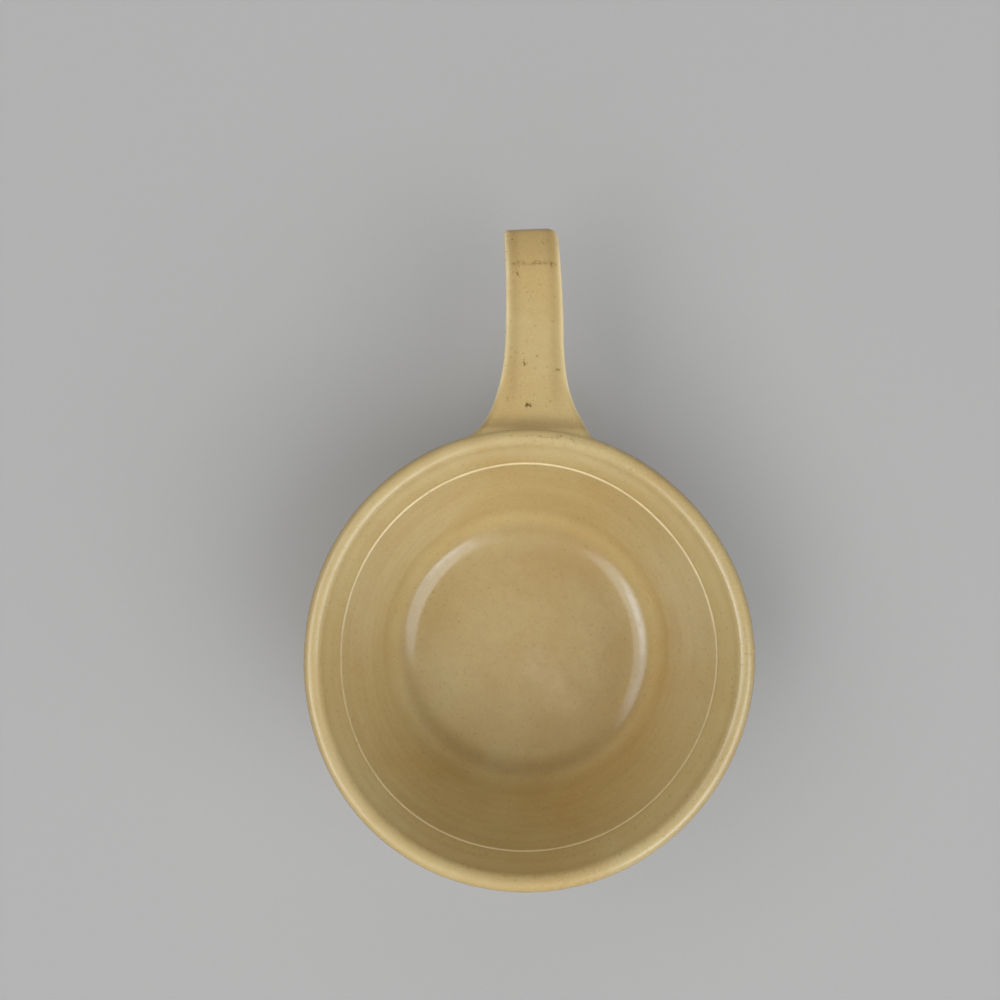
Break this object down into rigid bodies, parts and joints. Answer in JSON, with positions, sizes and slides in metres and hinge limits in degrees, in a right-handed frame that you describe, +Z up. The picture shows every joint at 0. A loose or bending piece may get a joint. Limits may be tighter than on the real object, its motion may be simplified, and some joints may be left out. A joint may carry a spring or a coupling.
{
  "type": "handled soup bowl",
  "caption": "Round glazed ceramic soup bowl with a rolled lip, a turned line inside, a low foot ring and one long straight bar handle.",
  "frame": {"origin": "on the bowl's axis, in the plane of the foot ring's flat face that rests on the table", "axes": "+Z up along the bowl's axis, +Y out along the handle, +X to the right as the handle points away from the viewer"},
  "size_m": [0.127, 0.1875, 0.058],
  "materials": {
    "fired_clay": "matte",
    "fired_slip": "matte",
    "yellow_glaze": "gloss"
  },
  "bodies": {
    "root": {"bowl_body": "fired_clay", "handle": "fired_clay", "handle_slip": "fired_slip", "bowl_glaze": "yellow_glaze", "base_glaze": "yellow_glaze", "handle_glaze": "yellow_glaze"}
  },
  "joints": []
}
